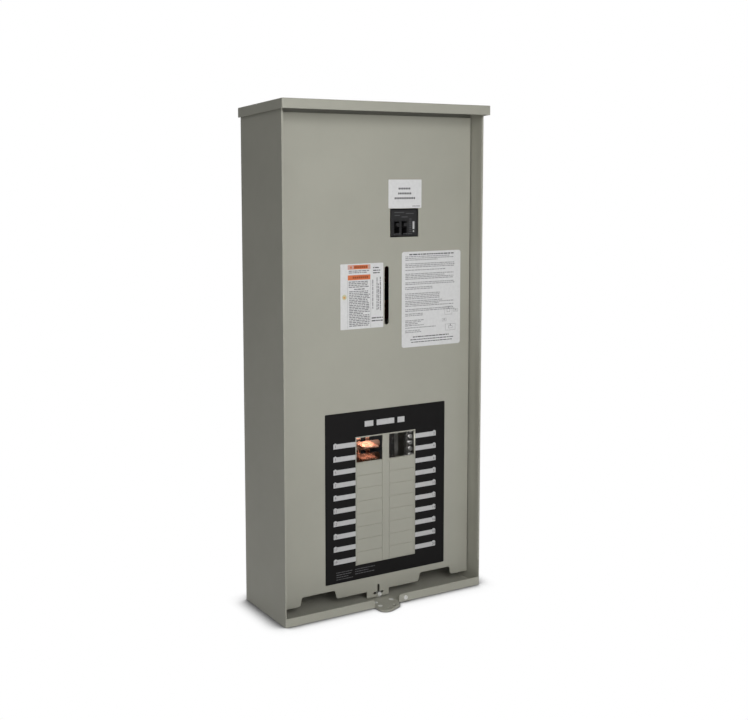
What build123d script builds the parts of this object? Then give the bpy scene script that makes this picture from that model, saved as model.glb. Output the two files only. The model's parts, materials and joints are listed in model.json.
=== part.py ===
from build123d import *
import os
from math import cos, radians, sin

# Wall-mounted automatic transfer switch with a load centre, outer cover taken off.
# Origin: bottom centre of the bounding box. +Z up, the open front faces -Y, the wall is at +Y.

# ---- driving dimensions, millimetres ----
width = 444.0               # sheet-metal box, outside
depth = 172.0
sheet = 2.0                 # steel sheet of the box and of the dead front
hasp_reach = 31.0           # how far the padlock tongue stands out of the box
back_y = (depth + hasp_reach) / 2
front_y = back_y - depth
recess = 38.0               # from the box's front edge back to the dead front
face_y = front_y + recess
half_width = width / 2
inner_x = half_width - sheet

hood_front_z = 972.0        # roof, highest at the front and falling to the back
hood_drop = 9.0
hood_height = 18.0
hood_side = 6.0             # overhang past each side wall
hood_front = 15.0           # overhang past the box's front edge
lip_height = 16.0
gap_half = 28.5             # half the gap in the bottom lip

hem_width = 9.0
hem_thick = 1.5
hem_bottom = 51.0

dead_half = 218.0           # dead front, half width
dead_top = 950.0
dead_bottom = 18.5
dead_flange = 12.0          # side flanges, turned back
dead_flange_z = (40.0, 920.0)

pitch = 25.4                # one breaker space
rows = 10
row_top_z = 319.5           # centre of the top pair of breaker spaces
centre_x = 20.0             # centre line of the load centre
strip_half = 7.5            # half the steel strip left between the two columns
window_outer = 67.0         # from the centre line to a window's outer edge
open_rows = 2

plate_y = back_y - sheet - 14.0   # front face of the equipment plate
plate_thick = 2.0
base_y = plate_y - 25.5           # front face of the load centre's base

breaker_x = 61.8            # main breaker
breaker_z = 744.7
breaker_window = (65.4, 55.4)
toggle_z = 734.0
toggle_xs = (45.0, 62.0)
toggle_pivot_y = face_y + 22.5
toggle_tilt = 15.0

slot_x = 21.6               # slot for the manual handle
slot_z = 605.0
slot_size = (114.0, 10.0)

pivot_y = face_y + 62.5     # axis of the transfer crossbar
pivot_z = slot_z
carrier_tilt = 12.0         # half the crossbar's swing
shaft_r = 6.0
running = 0.06              # radial clearance of a running fit
crank_x = 138.0
crank_r = 25.0
yoke_z = pivot_z - crank_r * sin(radians(carrier_tilt))

screw_x = 5.0               # screw that holds the dead front's tab
screw_z = 9.6
screw_r = 4.2               # heads of the two screws seen at the bottom
screw_high = 3.0
slot_half = 0.7
shank_r = 2.5

os.makedirs("parts", exist_ok=True)


def save(block, label):
    block.part.label = label
    export_step(block.part, "parts/" + label + ".step")


def box(x0, x1, y0, y1, z0, z1, mode=Mode.ADD):
    """A block between two corners, added to the part that is open."""
    with Locations(((x0 + x1) / 2, (y0 + y1) / 2, (z0 + z1) / 2)):
        Box(x1 - x0, y1 - y0, z1 - z0, mode=mode)


def rod(centre, radius, length, axis="Y", mode=Mode.ADD):
    """A round bar centred on a point, along one axis."""
    turn = {"X": (0, 90, 0), "Y": (90, 0, 0), "Z": (0, 0, 0)}[axis]
    with Locations(Location(centre, turn)):
        Cylinder(radius, length, mode=mode)


def slotted_screws(points, radius, face, head, cut=1.2):
    """Round slotted heads standing on a face that looks along -Y, one at each (x, z)."""
    for x, z in points:
        rod((x, face - head / 2, z), radius, head)
        box(x - radius, x + radius, face - head, face - head / 2, z - cut / 2, z + cut / 2, Mode.SUBTRACT)


def hood_under(y):
    """Height of the roof's underside at a depth y."""
    fall = hood_drop * (y - front_y + hood_front) / (depth + hood_front)
    return hood_front_z - sheet - fall


def row_z(index):
    return row_top_z - pitch * index


# ======== sheet-metal box ========

wall_hole_x = 170.0
wall_hole_z = (80.0, 880.0)
wall_hole_r = 4.5
back_top = hood_front_z - hood_drop - hood_height

with BuildPart() as back_panel:
    box(-inner_x, inner_x, back_y - sheet, back_y, sheet, back_top)
    for hole_x in (-wall_hole_x, wall_hole_x):
        for hole_z in wall_hole_z:
            rod((hole_x, back_y, hole_z), wall_hole_r, 4 * sheet, mode=Mode.SUBTRACT)
save(back_panel, "back_panel")


def side_wall(side):
    """One side of the box with its top cut to the roof's fall and its front edge hemmed inward."""
    outline = [(front_y, 0), (back_y, 0), (back_y, hood_under(back_y)), (front_y, hood_under(front_y))]
    with BuildPart() as wall:
        with BuildSketch(Plane.YZ.offset(side * half_width)):
            with BuildLine():
                Polyline(*outline, close=True)
            make_face()
        extrude(amount=-side * sheet)
        hem = sorted((side * inner_x, side * (inner_x - hem_thick)))
        box(hem[0], hem[1], front_y, front_y + hem_width, hem_bottom, dead_top)
    return wall


save(side_wall(-1), "left_side_wall")
save(side_wall(1), "right_side_wall")

hood_corner = 2.5
hood_fold = 1.2
hood_play = 0.5
hood_half = half_width + hood_side
hood_y = front_y - hood_front
hood_bottom_front = hood_front_z - hood_height
hood_outline = [(hood_y, hood_bottom_front), (hood_y, hood_front_z),
                (back_y, hood_front_z - hood_drop), (back_y, back_top)]
hollow_outline = [(hood_y + sheet, hood_bottom_front - hood_height),
                  (hood_y + sheet, hood_under(hood_y + sheet)),
                  (back_y - sheet, hood_under(back_y - sheet)), (back_y - sheet, back_top - hood_height)]

with BuildPart() as roof_hood:
    with BuildSketch(Plane.YZ.offset(-hood_half)):
        with BuildLine():
            Polyline(*hood_outline, close=True)
        make_face()
    extrude(amount=2 * hood_half)
    fillet(roof_hood.edges().filter_by(Axis.Z), radius=hood_corner)
    fillet(roof_hood.faces().sort_by(Axis.Z)[-1].edges(), radius=hood_fold)
    with BuildSketch(Plane.YZ.offset(-hood_half + sheet)):
        with BuildLine():
            Polyline(*hollow_outline, close=True)
        make_face()
    extrude(amount=2 * (hood_half - sheet), mode=Mode.SUBTRACT)
    for wall_x in (-half_width, half_width):
        box(wall_x - sheet, wall_x + sheet, back_y - sheet, back_y, back_top, hood_under(back_y) + hood_play,
            Mode.SUBTRACT)
save(roof_hood, "roof_hood")

knockout_xs = (-130.0, 0.0, 130.0)
knockout_y = back_y - 70.0
knockout_r = (22.0, 25.0, 22.0)
lip_corner = 5.0
lip_thick = 2.0

with BuildPart() as bottom_pan:
    box(-inner_x, inner_x, front_y, front_y + lip_thick, 0, lip_height)
    box(-gap_half, gap_half, front_y, front_y + lip_thick, sheet, lip_height, Mode.SUBTRACT)
    lip_edges = bottom_pan.edges().filter_by(Axis.Y).group_by(Axis.Z)[-1].sort_by(Axis.X)
    fillet(lip_edges[1:3], radius=lip_corner)
    box(-inner_x, inner_x, front_y + lip_thick, back_y - sheet, 0, sheet)
    for hole_x, hole_r in zip(knockout_xs, knockout_r):
        rod((hole_x, knockout_y, sheet / 2), hole_r, 2 * sheet, "Z", Mode.SUBTRACT)
save(bottom_pan, "bottom_pan")

knockout_step = 0.5
knockout_rings = (0.78, 0.56)      # radii of the two scored rings, against the blank's own
ring_width = 0.8

with BuildPart() as knockout_blanks:
    for hole_x, hole_r in zip(knockout_xs, knockout_r):
        with BuildSketch(Plane.XY):
            with Locations((hole_x, knockout_y)):
                Circle(hole_r)
        extrude(amount=sheet)
        for ring in knockout_rings:
            with BuildSketch(Plane.XY.offset(sheet)):
                with Locations((hole_x, knockout_y)):
                    Circle(hole_r * ring)
                    Circle(hole_r * ring - ring_width, mode=Mode.SUBTRACT)
            extrude(amount=-knockout_step, mode=Mode.SUBTRACT)
save(knockout_blanks, "knockout_blanks")

hasp_thick = 2.0
hasp_top = sheet + hasp_thick
hasp_left = -28.0
hasp_right = 27.0
hasp_back = face_y - 9.0
hasp_hole = (8.0, front_y - 14.5)
hasp_hole_r = 4.0
hasp_slot = (-5.0, front_y - 15.5)
hasp_slot_size = (8.0, 4.5)
hasp_corner = 5.0
rim_bottom = 0.5            # the tongue's edge is turned down to this height
rim_width = 2.0
rim_back = front_y - 1.0
hasp_outline = [(hasp_left, hasp_back), (hasp_right, hasp_back), (hasp_right, front_y),
                (16.0, front_y - 20.0), (-9.0, front_y - hasp_reach), (-21.0, front_y - hasp_reach),
                (hasp_left, front_y - 23.0)]
fold_y = front_y + 8.5      # scored bend line across the tongue's root
fold_width = 1.2
fold_depth = 0.6
rivet_y = (front_y + hasp_back) / 2
rivet_points = [(-18.0, rivet_y), (18.0, rivet_y), (-19.0, front_y - 4.5)]
rivet_r = 2.5
rivet_high = 0.8

with BuildPart() as padlock_hasp:
    with BuildSketch(Plane.XY.offset(sheet)) as hasp_plate:
        with BuildLine():
            Polyline(*hasp_outline, close=True)
        make_face()
        fillet(hasp_plate.vertices().group_by(Axis.Y)[0], radius=hasp_corner)
    extrude(amount=hasp_thick)
    with BuildSketch(Plane.XY.offset(rim_bottom)):
        add(hasp_plate.sketch)
        offset(amount=-rim_width, mode=Mode.SUBTRACT)
        with Locations((0, rim_back)):
            Rectangle(2 * half_width, 2 * half_width, align=(Align.CENTER, Align.MIN), mode=Mode.SUBTRACT)
    extrude(amount=sheet - rim_bottom)
    with BuildSketch(Plane.XY.offset(sheet)):
        with Locations(hasp_hole):
            Circle(hasp_hole_r)
        with Locations(hasp_slot):
            SlotOverall(hasp_slot_size[0], hasp_slot_size[1])
    extrude(amount=hasp_thick, mode=Mode.SUBTRACT)
    box(hasp_left, hasp_right, fold_y, fold_y + fold_width, hasp_top - fold_depth, hasp_top, Mode.SUBTRACT)
save(padlock_hasp, "padlock_hasp")

with BuildPart() as hasp_rivets:
    for rivet_x, rivet_centre_y in rivet_points:
        with Locations((rivet_x, rivet_centre_y, hasp_top)):
            Cone(2 * rivet_r, rivet_r, rivet_high, align=(Align.CENTER, Align.CENTER, Align.MIN))
save(hasp_rivets, "hasp_rivets")

rear_y = face_y + sheet
gap_behind = 0.5
leg_y = rear_y + gap_behind
crossbar_z = (dead_top - 25.0, hood_under(leg_y + sheet) - 0.5)
crossbar_shelf = 28.0
shelf_top = dead_top - 2.0

with BuildPart() as top_crossbar:
    box(-inner_x, inner_x, leg_y, leg_y + sheet, crossbar_z[0], crossbar_z[1])
    box(-inner_x, inner_x, leg_y + sheet, leg_y + crossbar_shelf, shelf_top - sheet, shelf_top)
save(top_crossbar, "top_crossbar")

foot_length = 20.0
tab_bracket_half = 5.5         # narrow, so that it hides behind the screw's head
tab_bracket_top = screw_z + 4.5

with BuildPart() as tab_bracket:
    box(screw_x - tab_bracket_half, screw_x + tab_bracket_half, leg_y, leg_y + sheet,
        sheet, tab_bracket_top)
    box(screw_x - tab_bracket_half, screw_x + tab_bracket_half, leg_y + sheet, leg_y + foot_length,
        sheet, 2 * sheet)
    rod((screw_x, leg_y, screw_z), shank_r + running, 4 * sheet, mode=Mode.SUBTRACT)
save(tab_bracket, "tab_bracket")

lip_screw_x = 41.5
lip_screw_z = 8.0
lip_slot_half = 1.1
clip_leaf = 1.0
clip_length = 26.0
clip_z = (0.8, 14.5)
clip_corner = 6.0

clip_x = (gap_half - clip_leaf, gap_half - clip_leaf + clip_length)
clip_back_y = front_y + lip_thick
clip_back_top = 9.5

with BuildPart() as lip_clip_nut:
    box(clip_x[0], clip_x[1], front_y - clip_leaf, front_y, clip_z[0], clip_z[1])
    fillet(lip_clip_nut.edges().filter_by(Axis.Y).sort_by(Axis.X)[-2:], radius=clip_corner)
    box(clip_x[0], clip_x[1], clip_back_y, clip_back_y + clip_leaf, sheet, clip_back_top)
    box(clip_x[0], gap_half, front_y, clip_back_y + clip_leaf, sheet, clip_back_top)
save(lip_clip_nut, "lip_clip_nut")

screw_edge = 0.8

with BuildPart() as lip_screw:
    rod((lip_screw_x, front_y - clip_leaf - screw_high / 2, lip_screw_z), screw_r, screw_high)
    fillet(lip_screw.faces().sort_by(Axis.Y)[0].edges(), radius=screw_edge)
    box(lip_screw_x - lip_slot_half, lip_screw_x + lip_slot_half, front_y - clip_leaf - screw_high,
        front_y - clip_leaf - screw_high / 2, lip_screw_z - screw_r, lip_screw_z + screw_r, Mode.SUBTRACT)
save(lip_screw, "lip_screw")

# ======== equipment plate ========

plate_half = 196.0
plate_z = (44.0, 912.0)
plate_corner = 8.0
post_xs = (-184.0, 184.0)
post_zs = (60.0, 454.0, 896.0)
post_points = [(x, z) for x in post_xs for z in post_zs]
post_r = 6.0
post_length = back_y - sheet - plate_y - plate_thick
nut_r = 5.8
nut_high = 5.0

with BuildPart() as equipment_plate:
    box(-plate_half, plate_half, plate_y, plate_y + plate_thick, plate_z[0], plate_z[1])
    fillet(equipment_plate.edges().filter_by(Axis.Y), radius=plate_corner)
save(equipment_plate, "equipment_plate")

with BuildPart() as plate_posts:
    for post_x, post_z in post_points:
        rod((post_x, plate_y + plate_thick + post_length / 2, post_z), post_r, post_length)
save(plate_posts, "plate_posts")

with BuildPart() as plate_nuts:
    for post_x, post_z in post_points:
        with BuildSketch(Plane.XZ.offset(-plate_y)):
            with Locations((post_x, post_z)):
                RegularPolygon(nut_r, 6)
        extrude(amount=nut_high)
save(plate_nuts, "plate_nuts")

# ======== load centre ========

base_half = 80.0
base_z = (row_z(rows - 1) - 32.0, row_top_z + 38.0)
base_edge = 3.0
rib_x = (24.0, 58.0)               # from the centre line
rib_high = 9.0
rib_half = 1.5
bus_width = 10.0
bus_offset = 11.0
bus_thick = 5.0
bus_z = (row_z(rows - 1) - 14.0, base_z[1] + 12.0)
tower_y = base_y - 16.0
stab_y = base_y - 38.0
stab_half = 17.0
stab_thick = 3.2
spider_half = (31.0, 8.5)          # the broad plate that carries a stab over the other bar
spider_thick = 3.0
spider_corner = 6.0
finger_half = 6.0

with BuildPart() as load_base:
    box(centre_x - base_half, centre_x + base_half, base_y, plate_y, base_z[0], base_z[1])
    for index in range(rows + 1):
        rib_z = row_z(index) + pitch / 2
        for side in (-1, 1):
            rib = sorted((centre_x + side * rib_x[0], centre_x + side * rib_x[1]))
            box(rib[0], rib[1], base_y - rib_high, base_y, rib_z - rib_half, rib_z + rib_half)
    chamfer(load_base.edges().filter_by(Axis.Y).group_by(SortBy.LENGTH)[-1], length=base_edge)
save(load_base, "load_base")


def phase_bus(side, first_row):
    """A vertical bar with a raised stab finger at every second breaker space."""
    bar_x = centre_x + side * bus_offset
    bar = (bar_x - bus_width / 2, bar_x + bus_width / 2)
    with BuildPart() as bus:
        box(bar[0], bar[1], base_y - bus_thick, base_y, bus_z[0], bus_z[1])
        for index in range(first_row, rows, 2):
            z = row_z(index)
            box(bar[0], bar[1], tower_y, base_y - bus_thick, z - finger_half, z + finger_half)
            with BuildSketch(Plane.XZ.offset(-tower_y)):
                with Locations((centre_x, z)):
                    RectangleRounded(2 * spider_half[0], 2 * spider_half[1], spider_corner)
            extrude(amount=spider_thick)
            box(centre_x - stab_half, centre_x + stab_half, stab_y, tower_y - spider_thick,
                z - stab_thick / 2, z + stab_thick / 2)
    return bus


save(phase_bus(-1, 0), "phase_a_bus")
save(phase_bus(1, 1), "phase_b_bus")

rail_x = 70.0
rail_depth = 20.0
rail_half = 4.0
rail_z = (row_z(rows - 1) - 12.0, row_top_z + 13.0)
hook_y = (base_y - rail_depth + 4.0, base_y - rail_depth + 10.0)   # slots that the breakers' feet hook into
hook_half = 6.0

with BuildPart() as breaker_rails:
    for side in (-1, 1):
        x = centre_x + side * rail_x
        box(x - rail_half, x + rail_half, base_y - rail_depth, base_y, rail_z[0], rail_z[1])
        for index in range(rows):
            z = row_z(index)
            box(x - 2 * rail_half, x + 2 * rail_half, hook_y[0], hook_y[1],
                z - hook_half, z + hook_half, Mode.SUBTRACT)
save(breaker_rails, "breaker_rails")

neutral_x = 92.0
neutral_half = 6.5
neutral_y = (face_y + 54.0, face_y + 66.0)
neutral_z = (row_z(rows - 1) - 26.0, row_top_z + 28.0)
neutral_first = neutral_z[0] + 12.0
neutral_screw_pitch = 12.7
neutral_screw_count = 21
wire_hole_y = (neutral_y[0] + neutral_y[1]) / 2 + 2.0
neutral_hole_r = 2.6
neutral_screw_points = [(centre_x + side * neutral_x, neutral_first + neutral_screw_pitch * index)
                        for side in (-1, 1) for index in range(neutral_screw_count)]

with BuildPart() as neutral_bars:
    for side in (-1, 1):
        x = centre_x + side * neutral_x
        box(x - neutral_half, x + neutral_half, neutral_y[0], neutral_y[1], neutral_z[0], neutral_z[1])
    for x, z in neutral_screw_points:
        rod((x, wire_hole_y, z), neutral_hole_r, 4 * neutral_half, "X", Mode.SUBTRACT)
save(neutral_bars, "neutral_bars")

pole_xs = (-30.0, 70.0)
link_y = base_y - bus_thick
link_thick = 4.0
link_post_z = 470.0
link_post_r = 7.0
stand_off = (5.5, 14.0)            # half sizes of the blocks under the neutral bars
stand_off_zs = (neutral_z[0] + 20.0, (neutral_z[0] + neutral_z[1]) / 2, neutral_z[1] - 20.0)

with BuildPart() as insulating_posts:
    for pole_x in pole_xs:
        rod((pole_x, (link_y + link_thick + plate_y) / 2, link_post_z), link_post_r,
            plate_y - link_y - link_thick)
    for side in (-1, 1):
        x = centre_x + side * neutral_x
        for z in stand_off_zs:
            box(x - stand_off[0], x + stand_off[0], neutral_y[1], plate_y, z - stand_off[1], z + stand_off[1])
save(insulating_posts, "insulating_posts")

ground_x = -150.0
ground_z = (120.0, 330.0)
ground_half = 6.5
ground_depth = 12.0
ground_hole_r = 2.4
ground_zs = [ground_z[0] + 14.0 + 13.0 * index for index in range(15)]
bar_screw_r = 4.2
bar_screw_high = 3.0

with BuildPart() as ground_bar:
    box(ground_x - ground_half, ground_x + ground_half, plate_y - ground_depth, plate_y,
        ground_z[0], ground_z[1])
    for z in ground_zs:
        rod((ground_x, plate_y - ground_depth / 2, z), ground_hole_r, 4 * ground_half, "X", Mode.SUBTRACT)
save(ground_bar, "ground_bar")

with BuildPart() as bar_screws:
    slotted_screws(neutral_screw_points, bar_screw_r, neutral_y[0], bar_screw_high)
    slotted_screws([(ground_x, z) for z in ground_zs], bar_screw_r, plate_y - ground_depth, bar_screw_high)
save(bar_screws, "bar_screws")

# ======== main breaker ========

case_half = 57.0
case_z = (690.0, 816.0)
case_y = face_y + 34.0
case_corner = 3.0
nose_half = (30.6, 25.6)
nose_front = face_y + 1.0
toggle_slot = (12.0, 27.0)
toggle_slot_back = case_y - 2.0
toggle_reach = 29.0
toggle_width = 9.0
toggle_thick = 6.5
toggle_hub_r = 5.0
toggle_shaft_r = 2.5
shaft_overhang = 9.0
shaft_end_play = 0.6
shaft_x = (toggle_xs[0] + toggle_xs[1]) / 2
shaft_length = toggle_xs[1] - toggle_xs[0] + 2 * shaft_overhang

with BuildPart() as main_breaker_case:
    box(breaker_x - case_half, breaker_x + case_half, case_y, plate_y, case_z[0], case_z[1])
    fillet(main_breaker_case.edges().filter_by(Axis.Y), radius=case_corner)
    box(breaker_x - nose_half[0], breaker_x + nose_half[0], nose_front, case_y,
        breaker_z - nose_half[1], breaker_z + nose_half[1])
    for toggle_x in toggle_xs:
        box(toggle_x - toggle_slot[0] / 2, toggle_x + toggle_slot[0] / 2, nose_front, toggle_slot_back,
            toggle_z - toggle_slot[1] / 2, toggle_z + toggle_slot[1] / 2, Mode.SUBTRACT)
    rod((shaft_x, toggle_pivot_y, toggle_z), toggle_shaft_r + running, shaft_length + shaft_end_play, "X",
        Mode.SUBTRACT)
save(main_breaker_case, "main_breaker_case")

toggle_plane = Plane(origin=(0, toggle_pivot_y, toggle_z), x_dir=(1, 0, 0),
                     z_dir=(0, sin(radians(toggle_tilt)), cos(radians(toggle_tilt))))

with BuildPart() as main_breaker_toggles:
    rod((shaft_x, toggle_pivot_y, toggle_z), toggle_shaft_r, shaft_length, "X")
    for toggle_x in toggle_xs:
        with BuildSketch(toggle_plane.offset(-toggle_thick / 2)):
            with Locations((toggle_x, -toggle_reach / 2)):
                Rectangle(toggle_width, toggle_reach)
        extrude(amount=toggle_thick)
        rod((toggle_x, toggle_pivot_y, toggle_z), toggle_hub_r, toggle_width, "X")
save(main_breaker_toggles, "main_breaker_toggles")

lug_xs = (breaker_x - 26.0, breaker_x + 26.0)
lug_half = 12.0
lug_length = 34.0
lug_y = (plate_y - 46.0, plate_y - 14.0)
lug_bore_r = 8.5
lug_bore_y = (lug_y[0] + lug_y[1]) / 2 + 3.0
lug_bore_floor = 4.0
lug_screw_r = 7.0
lug_screw_high = 3.0
hex_socket = (4.0, 2.0)            # radius and depth

with BuildPart() as main_lug_screws:
    for lug_x in lug_xs:
        screw_centre_z = case_z[1] + lug_length / 2
        rod((lug_x, lug_y[0] - lug_screw_high / 2, screw_centre_z), lug_screw_r, lug_screw_high)
        with BuildSketch(Plane.XZ.offset(lug_screw_high - lug_y[0])):
            with Locations((lug_x, screw_centre_z)):
                RegularPolygon(hex_socket[0], 6)
        extrude(amount=-hex_socket[1], mode=Mode.SUBTRACT)
save(main_lug_screws, "main_lug_screws")

# ======== transfer mechanism ========

base_x = (-75.0, 112.0)
mech_z = (545.0, 665.0)
mech_y = plate_y - 15.5
mech_corner = 6.0
cheek_xs = (-60.0, 97.0)
cheek_thick = 3.0
cheek_y = (pivot_y - 24.0, mech_y)
cheek_half = 42.0
block_half = 13.0
block_x = (-50.0, 90.0)
arm_half = 6.0
arm_tip = 33.0
arm_thick = 6.0
carrier_dir = (0, -sin(radians(carrier_tilt)), cos(radians(carrier_tilt)))
carrier_plane = Plane(origin=(0, pivot_y, pivot_z), x_dir=(1, 0, 0), z_dir=carrier_dir)

with BuildPart() as transfer_base:
    box(base_x[0], base_x[1], mech_y, plate_y, mech_z[0], mech_z[1])
    fillet(transfer_base.edges().filter_by(Axis.Y), radius=mech_corner)
save(transfer_base, "transfer_base")

with BuildPart() as bearing_cheeks:
    for cheek_x in cheek_xs:
        with BuildSketch(Plane.YZ.offset(cheek_x)):
            with Locations(((cheek_y[0] + cheek_y[1]) / 2, pivot_z)):
                RectangleRounded(cheek_y[1] - cheek_y[0], 2 * cheek_half, mech_corner)
            with Locations((pivot_y, pivot_z)):
                Circle(shaft_r + running, mode=Mode.SUBTRACT)
        extrude(amount=cheek_thick)
save(bearing_cheeks, "bearing_cheeks")

shaft_span = (cheek_xs[0] - 6.0, crank_x + 6.0)

with BuildPart() as crossbar_shaft:
    rod(((shaft_span[0] + shaft_span[1]) / 2, pivot_y, pivot_z), shaft_r, shaft_span[1] - shaft_span[0], "X")
save(crossbar_shaft, "crossbar_shaft")


def carrier_block(x0, x1, y0, y1, z0, z1, mode=Mode.ADD):
    """A block in the crossbar's own tilted frame."""
    middle = Location(((x0 + x1) / 2, (y0 + y1) / 2, (z0 + z1) / 2))
    with Locations(carrier_plane.location * middle):
        Box(x1 - x0, y1 - y0, z1 - z0, mode=mode)


with BuildPart() as contact_crossbar:
    carrier_block(block_x[0], block_x[1], -block_half, block_half, -block_half, block_half)
    rod((0, pivot_y, pivot_z), shaft_r, width, "X", Mode.SUBTRACT)
save(contact_crossbar, "contact_crossbar")

with BuildPart() as moving_contacts:
    for pole_x in pole_xs:
        carrier_block(pole_x - arm_half, pole_x + arm_half, block_half, arm_tip,
                      -arm_thick / 2, arm_thick / 2)
save(moving_contacts, "moving_contacts")

lever_half = (3.5, 5.0)
lever_end = -52.0
lever_nose = 1.5

with BuildPart() as manual_lever:
    carrier_block(slot_x - lever_half[0], slot_x + lever_half[0], lever_end, -block_half,
                  -lever_half[1], lever_half[1])
    fillet(manual_lever.faces().sort_by(Axis.Y)[0].edges(), radius=lever_nose)
save(manual_lever, "manual_lever")

pin_r = 3.0
pin_y = pivot_y - crank_r * cos(radians(carrier_tilt))
pin_x = (crank_x - 2.0, crank_x + 10.0)
crank_side = (crank_x - 5.0, crank_x - 1.0)
crank_half = 8.0

with BuildPart() as crank_arm:
    carrier_block(crank_side[0], crank_side[1], -crank_r - 2 * pin_r, crank_half + 2, -crank_half, crank_half)
    rod((crank_x, pivot_y, pivot_z), shaft_r, 4 * crank_half, "X", Mode.SUBTRACT)
    rod(((pin_x[0] + pin_x[1]) / 2, pin_y, yoke_z), pin_r, pin_x[1] - pin_x[0], "X")
save(crank_arm, "crank_arm")

swing = arm_tip * sin(radians(carrier_tilt)) + arm_thick / 2
strap_gap = swing + 1.0
strap_half = 9.0
strap_thick = 5.0
strap_front = pivot_y + 19.0


def fixed_contacts(side, terminal_z):
    """Copper straps that the arms meet at one end of their swing, with a foot and a terminal pad."""
    near = pivot_z + side * strap_gap
    with BuildPart() as straps:
        for pole_x in pole_xs:
            z = sorted((near, near + side * strap_thick))
            box(pole_x - strap_half, pole_x + strap_half, strap_front, mech_y, z[0], z[1])
            z = sorted((near + side * strap_thick, terminal_z))
            box(pole_x - strap_half, pole_x + strap_half, mech_y - strap_thick, mech_y, z[0], z[1])
    return straps


terminal_reach = 60.0
save(fixed_contacts(1, pivot_z + terminal_reach), "utility_contacts")
save(fixed_contacts(-1, pivot_z - terminal_reach), "standby_contacts")

standby_top = pivot_z - terminal_reach
standby_lug_half = 11.0
standby_lug_length = 30.0
standby_lug_y = (mech_y - 30.0, mech_y - 2.0)
standby_bore = (7.0, mech_y - 16.0)        # radius, and where its axis lies in Y
standby_screw_r = 5.5
neutral_lug_x = centre_x + neutral_x
neutral_lug_half = 15.0
neutral_lug_length = 42.0
neutral_lug_y = (neutral_y[0] - 4.0, neutral_y[1] + 16.0)
neutral_bore_r = 9.0
neutral_screw_r = 6.5

with BuildPart() as conductor_lugs:
    for lug_x in lug_xs:
        box(lug_x - lug_half, lug_x + lug_half, lug_y[0], lug_y[1], case_z[1], case_z[1] + lug_length)
        rod((lug_x, lug_bore_y, case_z[1] + lug_bore_floor + lug_length), lug_bore_r, 2 * lug_length, "Z",
            Mode.SUBTRACT)
    for pole_x in pole_xs:
        box(pole_x - standby_lug_half, pole_x + standby_lug_half, standby_lug_y[0], standby_lug_y[1],
            standby_top - standby_lug_length, standby_top)
        rod((pole_x, standby_bore[1], standby_top), standby_bore[0], 3 * standby_lug_length, "Z",
            Mode.SUBTRACT)
        rod((pole_x, standby_lug_y[0], standby_top - standby_lug_length / 2), standby_screw_r,
            4 * standby_screw_r, mode=Mode.SUBTRACT)
    box(neutral_lug_x - neutral_lug_half, neutral_lug_x + neutral_lug_half, *neutral_lug_y,
        neutral_z[1], neutral_z[1] + neutral_lug_length)
    rod((neutral_lug_x, neutral_y[1], neutral_z[1]), neutral_bore_r, 3 * neutral_lug_length, "Z",
        Mode.SUBTRACT)
    rod((neutral_lug_x, neutral_lug_y[0], neutral_z[1] + neutral_lug_length / 2), neutral_screw_r,
        4 * neutral_screw_r, mode=Mode.SUBTRACT)
save(conductor_lugs, "conductor_lugs")

feed_turn = (mech_z[1] + 5.0, mech_z[1] + 17.0)
feed_thick = 5.0
load_turns = (440.0, 405.0)
link_half = 6.0
load_link_top = standby_top - standby_lug_length - 4.0

with BuildPart() as copper_links:
    for pole_x, bus_side, turn_z in zip(pole_xs, (-1, 1), load_turns):
        bar_x = centre_x + bus_side * bus_offset
        bar = (bar_x - bus_width / 2, bar_x + bus_width / 2)
        left = min(pole_x - link_half, bar[0])
        right = max(pole_x + link_half, bar[1])
        elbow_z = turn_z - 2 * link_half
        box(pole_x - link_half, pole_x + link_half, link_y, link_y + link_thick, turn_z, load_link_top)
        box(left, right, link_y, link_y + link_thick, elbow_z, turn_z)
        box(bar[0], bar[1], link_y, link_y + link_thick, bus_z[1], elbow_z)
    for pole_x, lug_x in zip(pole_xs, lug_xs):
        box(pole_x - link_half, pole_x + link_half, mech_y - feed_thick, mech_y, mech_z[1], feed_turn[0])
        box(pole_x - link_half, lug_x + link_half, mech_y - feed_thick, mech_y, feed_turn[0], feed_turn[1])
        box(lug_x - link_half, lug_x + link_half, mech_y - feed_thick, mech_y, feed_turn[1], case_z[0])
save(copper_links, "copper_links")

# ======== solenoids ========

coil_x = crank_x + 6.0
coil_half = 19.0
coil_height = 40.0
winding_r = 16.0
flange_thick = 3.0
plunger_r = 6.0
plunger_play = 0.4
coil_gap = 34.0

with BuildPart() as transfer_coils:
    for side in (-1, 1):
        middle_z = pivot_z + side * (coil_gap + coil_height / 2)
        rod((coil_x, pin_y, middle_z), winding_r, coil_height, "Z")
        for flange_z in (middle_z - coil_height / 2, middle_z + coil_height / 2 - flange_thick):
            box(coil_x - coil_half, coil_x + coil_half, pin_y - coil_half, pin_y + coil_half,
                flange_z, flange_z + flange_thick)
        rod((coil_x, pin_y, middle_z), plunger_r + plunger_play, 2 * coil_height, "Z", Mode.SUBTRACT)
save(transfer_coils, "transfer_coils")

bracket_wall = 2.5
bracket_reach = coil_gap + coil_height
bracket_y = pin_y + coil_half
bracket_foot = 8.0                 # from the bracket's end to each of its two feet
bracket_notch = 14.0               # half height of the opening beside the crank

with BuildPart() as coil_bracket:
    box(coil_x - coil_half, coil_x + coil_half, bracket_y, bracket_y + bracket_wall,
        pivot_z - bracket_reach, pivot_z + bracket_reach)
    for side in (-1, 1):
        foot = sorted((pivot_z + side * (bracket_reach - bracket_foot),
                       pivot_z + side * (bracket_reach - bracket_foot - bracket_wall)))
        box(coil_x - coil_half, coil_x + coil_half, bracket_y + bracket_wall, plate_y, foot[0], foot[1])
    box(coil_x - 2 * coil_half, coil_x + 1, bracket_y, bracket_y + bracket_wall,
        pivot_z - bracket_notch, pivot_z + bracket_notch, Mode.SUBTRACT)
save(coil_bracket, "coil_bracket")

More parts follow.
